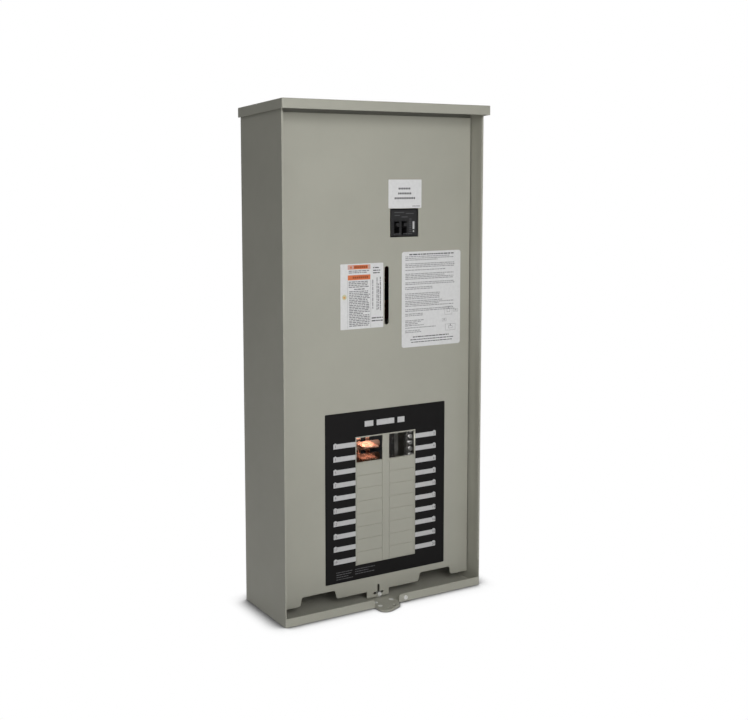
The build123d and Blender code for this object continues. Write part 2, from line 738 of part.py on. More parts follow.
yoke_half = (3.0, 10.0, 9.0)
yoke_slot = (9.0, 6.6)
stem_length = 50.0

with BuildPart() as solenoid_armature:
    box(coil_x - yoke_half[0], coil_x + yoke_half[0], pin_y - yoke_half[1], pin_y + yoke_half[1],
        yoke_z - yoke_half[2], yoke_z + yoke_half[2])
    with BuildSketch(Plane.YZ.offset(coil_x - 2 * yoke_half[0])):
        with Locations((pin_y, yoke_z)):
            SlotOverall(yoke_slot[0], yoke_slot[1])
    extrude(amount=4 * yoke_half[0], mode=Mode.SUBTRACT)
    for side in (-1, 1):
        rod((coil_x, pin_y, yoke_z + side * (yoke_half[2] + stem_length / 2)), plunger_r, stem_length, "Z")
save(solenoid_armature, "solenoid_armature")

switch_x = coil_x + 34.0
switch_zs = (pivot_z + 46.0, pivot_z - 46.0)
switch_half = (5.0, 14.0)
switch_front = plate_y - 24.0
button_r = 2.0
button_length = 9.0
button_bore = 8.0
button_proud = 4.0                 # how far a button stands out of its case

with BuildPart() as limit_switch_cases:
    for z in switch_zs:
        box(switch_x - switch_half[0], switch_x + switch_half[0], switch_front, plate_y,
            z - switch_half[1], z + switch_half[1])
        rod((switch_x, switch_front, z), button_r + running, 2 * button_bore, mode=Mode.SUBTRACT)
save(limit_switch_cases, "limit_switch_cases")

for z, source in zip(switch_zs, ("utility", "standby")):
    with BuildPart() as switch_button:
        rod((switch_x, switch_front - button_proud + button_length / 2, z), button_r, button_length)
    save(switch_button, source + "_switch_button")

# ======== controls on the left of the plate ========

relay_x = -150.0
relay_z = 600.0
socket_half = (26.0, 38.0)
socket_front = plate_y - 12.0
relay_half = (18.0, 20.0)
relay_front = plate_y - 58.0
socket_corner = 3.0
relay_corner = 4.0

with BuildPart() as relay_socket:
    box(relay_x - socket_half[0], relay_x + socket_half[0], socket_front, plate_y,
        relay_z - socket_half[1], relay_z + socket_half[1])
    fillet(relay_socket.edges().filter_by(Axis.Y), radius=socket_corner)
save(relay_socket, "relay_socket")

with BuildPart() as relay_case:
    box(relay_x - relay_half[0], relay_x + relay_half[0], relay_front, socket_front,
        relay_z - relay_half[1], relay_z + relay_half[1])
    fillet(relay_case.edges().filter_by(Axis.Y), radius=relay_corner)
save(relay_case, "relay_case")

fuse_z = 500.0
fuse_pitch = 20.0
fuse_xs = (relay_x - fuse_pitch, relay_x, relay_x + fuse_pitch)
fuse_walls = [relay_x + fuse_pitch * step for step in (-1.5, -0.5, 0.5, 1.5)]
block_size = (32.0, 32.0)
block_floor = plate_y - 10.0
wall_front = plate_y - 24.0
fuse_y = plate_y - 17.2
fuse_r = 5.2
fuse_length = 38.0
clip_at = 15.0                     # from the middle of a fuse to each clip
clip_size = (7.0, 4.0)
clip_mouth = 3.5

with BuildPart() as fuse_block:
    box(relay_x - block_size[0], relay_x + block_size[0], block_floor, plate_y,
        fuse_z - block_size[1], fuse_z + block_size[1])
    for wall_x in fuse_walls:
        box(wall_x - rib_half, wall_x + rib_half, wall_front, block_floor,
            fuse_z - block_size[1] + 2, fuse_z + block_size[1] - 2)
save(fuse_block, "fuse_block")

with BuildPart() as fuses:
    for fuse_x in fuse_xs:
        rod((fuse_x, fuse_y, fuse_z), fuse_r, fuse_length, "Z")
save(fuses, "fuses")

with BuildPart() as fuse_clips:
    for fuse_x in fuse_xs:
        for z in (fuse_z - clip_at, fuse_z + clip_at):
            box(fuse_x - clip_size[0], fuse_x + clip_size[0], wall_front + 1, block_floor,
                z - clip_size[1], z + clip_size[1])
            rod((fuse_x, fuse_y, z), fuse_r, 4 * clip_size[1], "Z", Mode.SUBTRACT)
            box(fuse_x - clip_mouth, fuse_x + clip_mouth, wall_front, fuse_y,
                z - 2 * clip_size[1], z + 2 * clip_size[1], Mode.SUBTRACT)
save(fuse_clips, "fuse_clips")

strip_z = (400.0, 440.0)
strip_x = (-190.0, -110.0)
strip_front = plate_y - 12.0
barrier_front = plate_y - 20.0
barrier_half = 1.0
terminal_count = 8
terminal_pitch = (strip_x[1] - strip_x[0] - 2 * barrier_half) / terminal_count
barrier_xs = [strip_x[0] + barrier_half + terminal_pitch * index for index in range(terminal_count + 1)]
terminal_zs = (strip_z[0] + 10.0, strip_z[1] - 10.0)
terminal_points = [(x + terminal_pitch / 2, z) for x in barrier_xs[:-1] for z in terminal_zs]

with BuildPart() as terminal_strip:
    box(strip_x[0], strip_x[1], strip_front, plate_y, strip_z[0], strip_z[1])
    for x in barrier_xs:
        box(x - barrier_half, x + barrier_half, barrier_front, strip_front, strip_z[0], strip_z[1])
save(terminal_strip, "terminal_strip")

with BuildPart() as terminal_screws:
    slotted_screws(terminal_points, radius=3.2, face=strip_front, head=2.4, cut=0.9)
save(terminal_screws, "terminal_screws")

board_x = (-192.0, -104.0)
board_z = (680.0, 830.0)
board_y = plate_y - 14.0
board_thick = 1.6
board_post_r = 3.0
board_inset = 6.0
board_corners = [(x, z) for x in (board_x[0] + board_inset, board_x[1] - board_inset)
                 for z in (board_z[0] + board_inset, board_z[1] - board_inset)]

with BuildPart() as control_board:
    box(board_x[0], board_x[1], board_y, board_y + board_thick, board_z[0], board_z[1])
save(control_board, "control_board")

with BuildPart() as board_posts:
    for post_x, post_z in board_corners:
        rod((post_x, (board_y + board_thick + plate_y) / 2, post_z), board_post_r,
            plate_y - board_y - board_thick)
save(board_posts, "board_posts")

# each component: centre in X and Z, then width, height and depth
board_parts = ((-176.0, 806.0, 20.0, 16.0, 16.0), (-148.0, 806.0, 20.0, 16.0, 16.0),
               (-120.0, 798.0, 16.0, 26.0, 10.0), (-162.0, 756.0, 44.0, 38.0, 24.0),
               (-118.0, 752.0, 14.0, 30.0, 13.0), (-148.0, 702.0, 60.0, 12.0, 11.0))

with BuildPart() as board_components:
    for x, z, part_width, part_height, part_depth in board_parts:
        box(x - part_width / 2, x + part_width / 2, board_y - part_depth, board_y,
            z - part_height / 2, z + part_height / 2)
save(board_components, "board_components")

# ======== dead front ========

notch_centre = 3.0              # the two notches are a pair about this line
notch_inner = (94.5, 98.5)      # the slanted ends of a notch, at its mouth and at its top
notch_outer = (174.0, 171.0)
notch_top = 35.5
notch_corner = 5.0
outer_corner = 8.0
keyhole_x = 3.3
keyhole_z = (13.0, 30.5)        # upright arm of the cross-shaped keyhole in the tab
keyhole_span = 23.0
keyhole_width = 5.0
tab_x = (-23.4, 27.0)
tab_bottom = 5.2
area_z = (row_z(rows - 1) - pitch / 2, row_top_z + pitch / 2)
window_top = area_z[1] - 1.5
window_bottom = row_z(open_rows - 1) - pitch / 2 + 0.7
column_width = window_outer - strip_half
column_xs = [centre_x + side * (window_outer + strip_half) / 2 for side in (-1, 1)]
groove_width = 1.3              # scored lines between the twist-outs
groove_depth = 0.8
notch_outline = [(notch_inner[0], dead_bottom), (notch_inner[1], notch_top),
                 (notch_outer[1], notch_top), (notch_outer[0], dead_bottom)]
dead_outline = [(-dead_half, dead_bottom)]
dead_outline += [(notch_centre - x, z) for x, z in reversed(notch_outline)]
dead_outline += [(tab_x[0], dead_bottom), (tab_x[0], tab_bottom),
                 (tab_x[1], tab_bottom), (tab_x[1], dead_bottom)]
dead_outline += [(notch_centre + x, z) for x, z in notch_outline]
dead_outline += [(dead_half, dead_bottom), (dead_half, dead_top), (-dead_half, dead_top)]

with BuildPart() as dead_front:
    with BuildSketch(Plane.XZ.offset(-face_y)) as plate_outline:
        with BuildLine():
            Polyline(*dead_outline, close=True)
        make_face()
        lower_corners = plate_outline.vertices().filter_by_position(Axis.Y, dead_bottom - 1, notch_top + 1)
        notch_reach = [abs(corner.X - notch_centre) for corner in lower_corners]
        fillet([corner for corner, reach in zip(lower_corners, notch_reach)
                if notch_inner[0] - 1 < reach < notch_outer[0] + 1], notch_corner)
        fillet([corner for corner in lower_corners if abs(corner.X) > dead_half - 1], outer_corner)
        for x in column_xs:
            with Locations((x, (window_top + window_bottom) / 2)):
                Rectangle(column_width, window_top - window_bottom, mode=Mode.SUBTRACT)
        with Locations((breaker_x, breaker_z)):
            Rectangle(breaker_window[0], breaker_window[1], mode=Mode.SUBTRACT)
        with Locations((slot_x, slot_z)):
            SlotOverall(slot_size[0], slot_size[1], rotation=90, mode=Mode.SUBTRACT)
        with Locations((keyhole_x, sum(keyhole_z) / 2)):
            SlotOverall(keyhole_z[1] - keyhole_z[0], keyhole_width, rotation=90, mode=Mode.SUBTRACT)
        with Locations((keyhole_x, keyhole_z[0])):
            SlotOverall(keyhole_span, keyhole_width, mode=Mode.SUBTRACT)
        with Locations((screw_x, screw_z)):
            Circle(shank_r, mode=Mode.SUBTRACT)
    extrude(amount=-sheet)
    for side in (-1, 1):
        edge = sorted((side * dead_half, side * (dead_half - sheet)))
        box(edge[0], edge[1], rear_y, rear_y + dead_flange,
            dead_flange_z[0], dead_flange_z[1])
    with BuildSketch(Plane.XZ.offset(-face_y)):
        for x in column_xs:
            for index in range(open_rows, rows):
                with Locations((x, row_z(index))):
                    Rectangle(column_width, pitch)
                    Rectangle(column_width - groove_width, pitch - groove_width, mode=Mode.SUBTRACT)
    extrude(amount=-groove_depth, mode=Mode.SUBTRACT)
save(dead_front, "dead_front")

label_thick = 0.3
circuit_half = (138.0, 167.5)
circuit_centre = (21.5, 216.0)
area_half = 69.2
area_margin = 1.0


def label_sheet(centre, half, corner):
    """A thin printed sheet stuck to the dead front."""
    with BuildPart() as sheet_part:
        with BuildSketch(Plane.XZ.offset(-face_y)):
            with Locations(centre):
                RectangleRounded(2 * half[0], 2 * half[1], corner)
        extrude(amount=label_thick)
    return sheet_part


with BuildPart() as circuit_label:
    with BuildSketch(Plane.XZ.offset(-face_y)):
        with Locations(circuit_centre):
            RectangleRounded(2 * circuit_half[0], 2 * circuit_half[1], 2.0)
        with Locations((centre_x, (area_z[0] + area_z[1]) / 2)):
            Rectangle(2 * area_half, area_z[1] - area_z[0] + 2 * area_margin, mode=Mode.SUBTRACT)
    extrude(amount=label_thick)
save(circuit_label, "circuit_label")

save(label_sheet((63.2, 800.6), (38.0, 27.7), 1.5), "disconnect_label")
save(label_sheet((-34.0, 606.5), (47.6, 62.6), 1.5), "operation_label")
save(label_sheet((126.0, 593.5), (69.8, 94.4), 5.0), "information_label")

shank_length = 11.0

with BuildPart() as dead_front_screw:
    rod((screw_x, face_y - screw_high / 2, screw_z), screw_r, screw_high)
    fillet(dead_front_screw.faces().sort_by(Axis.Y)[0].edges(), radius=screw_edge)
    box(screw_x - screw_r, screw_x + screw_r, face_y - screw_high, face_y - screw_high / 2,
        screw_z - slot_half, screw_z + slot_half, Mode.SUBTRACT)
    rod((screw_x, face_y + shank_length / 2, screw_z), shank_r, shank_length)
save(dead_front_screw, "dead_front_screw")
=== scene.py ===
"""Looks for the automatic transfer switch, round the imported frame. Metres, +Z up, the front faces -Y."""
import json
import math
import random

import bpy
from mathutils import Matrix, Vector


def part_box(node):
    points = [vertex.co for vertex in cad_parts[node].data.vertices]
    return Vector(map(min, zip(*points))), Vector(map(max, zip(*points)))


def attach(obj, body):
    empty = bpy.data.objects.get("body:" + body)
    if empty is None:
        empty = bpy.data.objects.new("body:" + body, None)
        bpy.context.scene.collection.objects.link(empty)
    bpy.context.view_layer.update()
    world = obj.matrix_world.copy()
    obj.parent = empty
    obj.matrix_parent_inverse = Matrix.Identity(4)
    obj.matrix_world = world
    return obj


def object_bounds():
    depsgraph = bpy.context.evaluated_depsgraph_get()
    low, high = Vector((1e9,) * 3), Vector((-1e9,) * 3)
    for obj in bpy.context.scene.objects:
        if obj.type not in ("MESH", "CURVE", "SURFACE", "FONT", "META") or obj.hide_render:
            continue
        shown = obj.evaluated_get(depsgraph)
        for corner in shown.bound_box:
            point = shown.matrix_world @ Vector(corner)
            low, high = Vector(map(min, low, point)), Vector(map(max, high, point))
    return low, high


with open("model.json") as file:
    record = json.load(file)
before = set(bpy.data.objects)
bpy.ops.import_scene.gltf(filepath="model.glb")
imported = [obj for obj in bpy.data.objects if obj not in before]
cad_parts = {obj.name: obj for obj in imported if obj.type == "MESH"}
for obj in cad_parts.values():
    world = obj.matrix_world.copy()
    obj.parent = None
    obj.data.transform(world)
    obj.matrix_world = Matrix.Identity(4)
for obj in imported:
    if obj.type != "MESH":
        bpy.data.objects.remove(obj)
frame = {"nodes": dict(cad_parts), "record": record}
cad_low, cad_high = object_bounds()
MM = 0.001
rng = random.Random(7)

# ---------------------------------------------------------------- materials


class Tree:
    """A few short ways to add nodes to one material."""

    def __init__(self, name):
        self.material = bpy.data.materials.new(name)
        self.material.use_nodes = True
        self.nodes = self.material.node_tree.nodes
        self.links = self.material.node_tree.links
        self.shader = self.nodes["Principled BSDF"]
        self.place = self.nodes.new("ShaderNodeTexCoord").outputs["Object"]

    def link(self, source, target):
        self.links.new(source, target)

    def noise(self, scale, detail=3.0, rough=0.5, stretch=None):
        node = self.nodes.new("ShaderNodeTexNoise")
        node.inputs["Scale"].default_value = scale
        node.inputs["Detail"].default_value = detail
        node.inputs["Roughness"].default_value = rough
        place = self.place
        if stretch:
            mapping = self.nodes.new("ShaderNodeMapping")
            mapping.inputs["Scale"].default_value = stretch
            self.link(place, mapping.inputs["Vector"])
            place = mapping.outputs["Vector"]
        self.link(place, node.inputs["Vector"])
        return node.outputs["Fac"]

    def ramp(self, value, low, high, colour_low, colour_high):
        node = self.nodes.new("ShaderNodeValToRGB")
        node.color_ramp.elements[0].position = low
        node.color_ramp.elements[1].position = high
        node.color_ramp.elements[0].color = (*colour_low, 1)
        node.color_ramp.elements[1].color = (*colour_high, 1)
        self.link(value, node.inputs["Fac"])
        return node.outputs["Color"]

    def spread(self, value, low, high):
        node = self.nodes.new("ShaderNodeMapRange")
        node.inputs["From Min"].default_value = 0.3
        node.inputs["From Max"].default_value = 0.7
        node.inputs["To Min"].default_value = low
        node.inputs["To Max"].default_value = high
        self.link(value, node.inputs["Value"])
        return node.outputs["Result"]

    def mix(self, factor, first, second):
        node = self.nodes.new("ShaderNodeMix")
        node.data_type = "RGBA"
        self.link(factor, node.inputs["Factor"])
        self.link(first, node.inputs["A"])
        self.link(second, node.inputs["B"])
        return node.outputs["Result"]

    def edges(self, radius, low, high):
        """A mask that is 1 on sharp edges and 0 on flats."""
        bevel = self.nodes.new("ShaderNodeBevel")
        bevel.samples = 4
        bevel.inputs["Radius"].default_value = radius
        geometry = self.nodes.new("ShaderNodeNewGeometry")
        dot = self.nodes.new("ShaderNodeVectorMath")
        dot.operation = "DOT_PRODUCT"
        self.link(bevel.outputs["Normal"], dot.inputs[0])
        self.link(geometry.outputs["Normal"], dot.inputs[1])
        node = self.nodes.new("ShaderNodeMapRange")
        node.inputs["From Min"].default_value = high
        node.inputs["From Max"].default_value = low
        self.link(dot.outputs["Value"], node.inputs["Value"])
        return node.outputs["Result"]

    def bump(self, value, distance, strength, radius=None):
        node = self.nodes.new("ShaderNodeBump")
        node.inputs["Distance"].default_value = distance
        node.inputs["Strength"].default_value = strength
        self.link(value, node.inputs["Height"])
        if radius:
            bevel = self.nodes.new("ShaderNodeBevel")
            bevel.samples = 4
            bevel.inputs["Radius"].default_value = radius
            self.link(bevel.outputs["Normal"], node.inputs["Normal"])
        self.link(node.outputs["Normal"], self.shader.inputs["Normal"])


def shade(colour, amount):
    return tuple(min(1.0, c * amount) for c in colour)


def painted(name, colour, rough=0.42, grain=1400.0, wear=0.25, edge=0.0007):
    """Powder coat: fine orange peel, faint cloudiness and thinner, lighter paint on the edges."""
    t = Tree(name)
    cloud = t.ramp(t.noise(9.0, 4.0, 0.6), 0.35, 0.65, shade(colour, 0.965), shade(colour, 1.03))
    speck = t.ramp(t.noise(2600.0, 2.0), 0.62, 0.74, shade(colour, 1.0), shade(colour, 1.12))
    blend = t.nodes.new("ShaderNodeMix")
    blend.data_type = "RGBA"
    blend.inputs["Factor"].default_value = 0.25
    t.link(cloud, blend.inputs["A"])
    t.link(speck, blend.inputs["B"])
    pale = t.ramp(t.noise(60.0), 0.3, 0.7, shade(colour, 1.1), shade(colour, 1.0 + wear))
    t.link(t.mix(t.edges(edge, 0.80, 0.985), blend.outputs["Result"], pale), t.shader.inputs["Base Color"])
    t.link(t.spread(t.noise(35.0, 5.0), rough - 0.05, rough + 0.07), t.shader.inputs["Roughness"])
    t.bump(t.noise(grain, 2.0), 0.00012, 0.35, edge)
    return t.material


def metal(name, colour, rough=0.3, brush=(1.0, 1.0, 30.0), grain=500.0, tarnish=None, edge=0.0004,
          metallic=1.0):
    """Bare or plated metal: drawn grain, patchy roughness and, where given, tarnish."""
    t = Tree(name)
    t.shader.inputs["Metallic"].default_value = metallic
    clean = t.ramp(t.noise(grain, 3.0, 0.6, brush), 0.3, 0.7, shade(colour, 0.88), shade(colour, 1.06))
    dull = t.ramp(t.noise(40.0), 0.3, 0.7, tarnish or shade(colour, 0.75), shade(colour, 0.92))
    t.link(t.mix(t.spread(t.noise(55.0, 5.0, 0.65), 0.0, 0.55), clean, dull), t.shader.inputs["Base Color"])
    t.link(t.spread(t.noise(90.0, 4.0), rough - 0.08, rough + 0.12), t.shader.inputs["Roughness"])
    t.bump(t.noise(grain, 3.0, 0.6, brush), 0.00006, 0.3, edge)
    return t.material


def moulded(name, colour, rough=0.45, grain=1800.0, depth=0.00008, edge=0.0005):
    """Moulded plastic: fine spark-eroded grain with slightly rubbed edges."""
    t = Tree(name)
    body = t.ramp(t.noise(25.0, 4.0), 0.3, 0.7, shade(colour, 0.85), shade(colour, 1.12))
    rubbed = t.ramp(t.noise(80.0), 0.3, 0.7, shade(colour, 1.3), shade(colour, 1.7))
    t.link(t.mix(t.edges(edge, 0.78, 0.98), body, rubbed), t.shader.inputs["Base Color"])
    t.link(t.spread(t.noise(120.0, 4.0), rough - 0.06, rough + 0.1), t.shader.inputs["Roughness"])
    t.bump(t.noise(grain, 2.0), depth, 0.4, edge)
    return t.material


def printed(name, colour, rough=0.38, specular=0.5):
    """Printed polyester film: slight ink mottling under a smooth face."""
    t = Tree(name)
    t.shader.inputs["Specular IOR Level"].default_value = specular
    mottle = t.ramp(t.noise(180.0, 4.0), 0.3, 0.7, shade(colour, 0.95), shade(colour, 1.03))
    t.link(mottle, t.shader.inputs["Base Color"])
    t.link(t.spread(t.noise(60.0, 3.0), rough - 0.05, rough + 0.06), t.shader.inputs["Roughness"])
    t.bump(t.noise(400.0, 2.0), 0.00003, 0.2)
    return t.material


PAINT = (0.375, 0.371, 0.316)
looks = {
    "grey_paint": painted("paint_grey", PAINT),
    "zinc_steel": metal("zinc_plate", (0.62, 0.62, 0.60), 0.34, tarnish=(0.42, 0.42, 0.40)),
    "bright_steel": metal("nickel_plate", (0.70, 0.69, 0.66), 0.22),
    "copper": metal("bare_copper", (0.88, 0.50, 0.36), 0.24, tarnish=(0.58, 0.27, 0.18)),
    "tinned_aluminium": metal("tin_plate", (0.74, 0.74, 0.73), 0.33, brush=(30.0, 1.0, 1.0)),
    "black_moulding": moulded("phenolic_black", (0.011, 0.011, 0.0115)),
    "red_moulding": moulded("polyester_red", (0.30, 0.045, 0.03)),
    "coil_tape": moulded("coil_tape", (0.42, 0.24, 0.05), 0.3, 700.0),
    "clear_cover": moulded("relay_cover", (0.46, 0.48, 0.47), 0.18),
    "fuse_glass": moulded("fuse_body", (0.66, 0.64, 0.58), 0.2),
    "board_green": moulded("solder_resist", (0.02, 0.13, 0.05), 0.3, 500.0),
    "component_black": moulded("package_black", (0.022, 0.022, 0.026), 0.5),
    "nylon_white": moulded("nylon_white", (0.72, 0.72, 0.68), 0.4),
    "label_black": printed("label_black", (0.0065, 0.0060, 0.0062), 0.5, 0.15),
    "label_white": printed("label_white", (0.69, 0.69, 0.69), 0.42),
}
ink_white = printed("ink_white", (0.51, 0.51, 0.51), 0.42)
ink_grey = printed("ink_grey", (0.21, 0.21, 0.215), 0.45)
ink_soft = printed("ink_soft", (0.30, 0.30, 0.305), 0.45)
ink_dark = printed("ink_dark", (0.06, 0.06, 0.065), 0.5, 0.2)
ink_number = printed("ink_number", (0.09, 0.09, 0.095), 0.45)
ink_footnote = printed("ink_footnote", (0.10, 0.10, 0.105), 0.5, 0.2)
ink_brown = printed("ink_brown", (0.26, 0.06, 0.02), 0.45)
ink_blush = printed("ink_blush", (0.55, 0.36, 0.32), 0.45)
ink_pale_yellow = printed("ink_pale_yellow", (0.56, 0.55, 0.36), 0.42)
ink_orange = printed("ink_orange", (0.62, 0.16, 0.05), 0.42)
ink_amber = printed("ink_amber", (0.66, 0.34, 0.10), 0.42)

# passivated zinc on the screws and rivets that show. Its pale, partly diffuse colour is partly their own tone
# and partly a painted highlight for their glints
zinc_with_painted_highlight = metal("zinc_with_painted_highlight", (0.86, 0.86, 0.84), 0.3, metallic=0.3)
# the crossbar that shows as a dark line above the dead front; its dark paint is painted shade for the gap
# under the hood
painted_shade_primer = painted("painted_shade_primer", shade(PAINT, 0.4), 0.5, wear=0.1)
own_looks = {"dead_front_screw": zinc_with_painted_highlight, "lip_screw": zinc_with_painted_highlight, "bar_screws": zinc_with_painted_highlight,
             "hasp_rivets": zinc_with_painted_highlight, "top_crossbar": painted_shade_primer}

for entry in frame["record"]["subparts"]:
    carried = frame["nodes"][entry["node"]]
    look = own_looks.get(entry["node"], looks[entry["material_slot"]])
    if not carried.material_slots:
        carried.data.materials.append(look)
    for material_slot in carried.material_slots:
        material_slot.material = look

# ---------------------------------------------------------------- mesh helpers


def piece(name, vertices, faces, material, body):
    """One mesh object that rides on a body and takes the finish it is given."""
    mesh = bpy.data.meshes.new(name)
    mesh.from_pydata(vertices, [], faces)
    mesh.update()
    made = bpy.data.objects.new(name, mesh)
    bpy.context.scene.collection.objects.link(made)
    mesh.materials.append(material)
    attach(made, body)


def prism(outline, front, back):
    """A flat shape in X and Z given depth along Y. The outline runs anticlockwise seen from the front."""
    count = len(outline)
    vertices = [(x, front, z) for x, z in outline] + [(x, back, z) for x, z in outline]
    faces = [tuple(range(count)), tuple(reversed(range(count, 2 * count)))]
    faces += [(i, i + count, (i + 1) % count + count, (i + 1) % count) for i in range(count)]
    return vertices, faces


def join_shapes(shapes):
    """Several vertex and face lists as one."""
    vertices, faces = [], []
    for more_vertices, more_faces in shapes:
        start = len(vertices)
        vertices += more_vertices
        faces += [tuple(i + start for i in face) for face in more_faces]
    return vertices, faces


def rectangle(x0, x1, z0, z1):
    return [(x0, z0), (x1, z0), (x1, z1), (x0, z1)]


def disc(x, z, radius, sides=24):
    return [(x + radius * math.cos(2 * math.pi * i / sides), z + radius * math.sin(2 * math.pi * i / sides))
            for i in range(sides)]


def ring(x0, x1, z0, z1, line):
    """The four sides of a thin frame."""
    return [rectangle(x0, x1, z0, z0 + line), rectangle(x0, x1, z1 - line, z1),
            rectangle(x0, x0 + line, z0 + line, z1 - line), rectangle(x1 - line, x1, z0 + line, z1 - line)]


class Sheet:
    """Print on one of the labels, placed in millimetres right and down from its top left corner."""
    body = "dead_front_panel"
    ink_depth = 0.00006
    word_gap = 0.7                  # this and the word lengths are in heights of the line
    word_lengths = (1.2, 5.0)
    upright_word_lengths = (1.2, 4.5)
    ragged_share = 0.3              # how many lines of a block stop well short
    least_ragged = 0.04

    def __init__(self, node):
        low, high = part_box(node)
        self.left, self.top = low[0], high[2]
        self.surface = low[1]
        self.width = (high[0] - low[0]) / MM
        self.prefix = node

    def spot(self, u, v):
        return self.left + u * MM, self.top - v * MM

    def rect(self, u0, v0, u1, v1):
        return rectangle(self.left + u0 * MM, self.left + u1 * MM, self.top - v1 * MM, self.top - v0 * MM)

    def words(self, u0, v, u1, height, ragged=0.0):
        """One line of greeked words, as bars with word gaps."""
        length = (u1 - u0) * (1 - rng.random() * ragged)
        bars, at = [], u0
        while at < u0 + length - height:
            word = min(height * rng.uniform(*self.word_lengths), u0 + length - at)
            bars.append(self.rect(at, v, at + word, v + height))
            at += word + height * self.word_gap
        return bars

    def capitals(self, u0, v, u1, height, count, gap=0.3):
        """A line of separate upright blocks, each where a capital letter would stand."""
        step = (u1 - u0) / count
        return [self.rect(u0 + step * i, v, u0 + step * (i + 1 - gap), v + height) for i in range(count)]

    def column(self, u0, v0, u1, v1, step, height, ragged=0.35):
        """A block of greeked lines."""
        bars, v = [], v0
        while v + height <= v1:
            short = ragged if rng.random() < self.ragged_share else self.least_ragged
            bars += self.words(u0, v, u1, height, short)
            v += step
        return bars

    def upright(self, u, v0, v1, width):
        """One greeked line that reads upwards."""
        bars, at = [], v0
        while at < v1 - width:
            word = min(width * rng.uniform(*self.upright_word_lengths), v1 - at)
            bars.append(self.rect(u, at, u + width, at + word))
            at += word + width * self.word_gap
        return bars

    def ink(self, name, outlines, material, layer=1):
        """Print in one colour. A higher layer lies on top of a lower one."""
        back = self.surface - (layer - 1) * self.ink_depth
        shapes = [prism(o, back - self.ink_depth, back) for o in outlines]
        vertices, faces = join_shapes(shapes)
        piece(self.prefix + "_" + name, vertices, faces, material, self.body)


def digits(sheet, name, marks, height, material):
    """Plain numerals on a sheet, just above the first layer: marks are (text, u, v) for their centres."""
    vertices, faces = [], []
    lift = 1.7 * Sheet.ink_depth
    for text, u, v in marks:
        curve = bpy.data.curves.new("numeral", "FONT")
        curve.body = text
        curve.size = height * MM
        curve.align_x = "CENTER"
        curve.align_y = "CENTER"
        curve.extrude = Sheet.ink_depth / 2
        curve.resolution_u = 3
        holder = bpy.data.objects.new("numeral", curve)
        mesh = bpy.data.meshes.new_from_object(holder)
        turn = Matrix.Rotation(math.pi / 2, 4, "X")
        spot = Vector((sheet.left + u * MM, sheet.surface - lift, sheet.top - v * MM))
        start = len(vertices)
        vertices += [tuple(turn @ vertex.co + spot) for vertex in mesh.vertices]
        faces += [tuple(i + start for i in polygon.vertices) for polygon in mesh.polygons]
        bpy.data.objects.remove(holder)
        bpy.data.curves.remove(curve)
        bpy.data.meshes.remove(mesh)
    piece(sheet.prefix + "_" + name, vertices, faces, material, sheet.body)


# ---------------------------------------------------------------- circuit label

circuit = Sheet("circuit_label")
first_row_z = 0.3195            # middle of the first breaker space above the base
pitch_mm = 25.4
rows = 10
area_half = 69.2
area_middle = circuit.width / 2 - 1.5
area_u = (area_middle - area_half, area_middle + area_half)
strip_length = 49.0
strip_height = 9.4
tag_length = 8.0
tag_peak = 2.2
numeral_place = 0.55            # of the tag's length, from its outer end
numeral_height = 7.4
title_v = 21.0
title_height = 11.0
fine_v = 313.0
fine_step = 4.6
fine_height = 1.5

first_row_v = (circuit.top - first_row_z) / MM
strips, tags, marks = [], [], []
for row in range(rows):
    v = first_row_v + pitch_mm * row
    top, low = v - strip_height / 2, v + strip_height / 2
    strips.append(circuit.rect(area_u[0] - strip_length + tag_length, top, area_u[0], low))
    strips.append(circuit.rect(area_u[1], top, area_u[1] + strip_length - tag_length, low))
    for side, outer, inward in ((0, area_u[0] - strip_length, 1), (1, area_u[1] + strip_length, -1)):
        points = [(0, low), (tag_length, low), (tag_length, top), (tag_length / 2, top - tag_peak), (0, top)]
        outline = [circuit.spot(outer + inward * u, v_point) for u, v_point in points]
        tags.append(outline if inward == 1 else outline[::-1])
        marks.append((str(2 * row + 1 + side), outer + inward * tag_length * numeral_place, v))
circuit.ink("strips", strips, ink_white)
circuit.ink("number_tags", tags, ink_white)
digits(circuit, "numbers", marks, numeral_height, ink_number)
circuit.ink("title", circuit.words(88, title_v, 188, title_height), ink_white)
fine_print = circuit.column(24, fine_v, 62, fine_v + 18, fine_step, fine_height)
fine_print += circuit.column(66, fine_v, 112, fine_v + 14, fine_step, fine_height)
circuit.ink("small_print", fine_print, ink_footnote)

# ---------------------------------------------------------------- disconnect label

disconnect = Sheet("disconnect_label")
capital = 3.6
lines = []
for u0, v, u1, letters in ((23, 15.6, 51, 7), (22, 25.0, 53, 8), (14, 34.2, 62, 12)):
    lines += disconnect.capitals(u0, v, u1, capital, letters)
disconnect.ink("lines", lines, ink_dark)
disconnect.ink("small_print", disconnect.capitals(55, 50.5, 73, 1.7, 8), ink_grey)

# ---------------------------------------------------------------- operation label

line_step = 3.3                 # from line to line of body text on this label and the next
body_height = 1.9
band_u = (16.0, 66.0)
upper_band_v = (2.5, 10.5)
lower_band_v = (21.5, 31.0)
rule = 0.4
rule_v = (32, 124)

operation = Sheet("operation_label")
bands = [operation.rect(band_u[0], v0, band_u[1], v1) for v0, v1 in (upper_band_v, lower_band_v)]
operation.ink("bands", bands, ink_orange)
operation.ink("band_pale", [operation.rect(16.3, 3.2, 29, 9.8), operation.rect(60.5, 3.2, 65.7, 9.8)],
              ink_blush, layer=2)
band_words = operation.capitals(30.5, 4.6, 60, 4.0, 7, 0.25) + operation.capitals(27, 24.4, 62, 3.8, 8, 0.3)
operation.ink("band_words", band_words, ink_brown, layer=2)
operation.ink("band_mark", [operation.rect(21, 4.6, 25, 8.6)], ink_orange, layer=3)
text_lines = []
for u0, v0, u1, v1 in ((18, 12.8, 64, 20.5), (18, 33.5, 64, 46), (19, 52, 65, 121)):
    text_lines += operation.column(u0, v0, u1, v1, line_step, body_height)
operation.ink("text", text_lines, ink_grey)
operation.ink("headline", operation.words(30, 48, 56, 1.7), ink_dark)
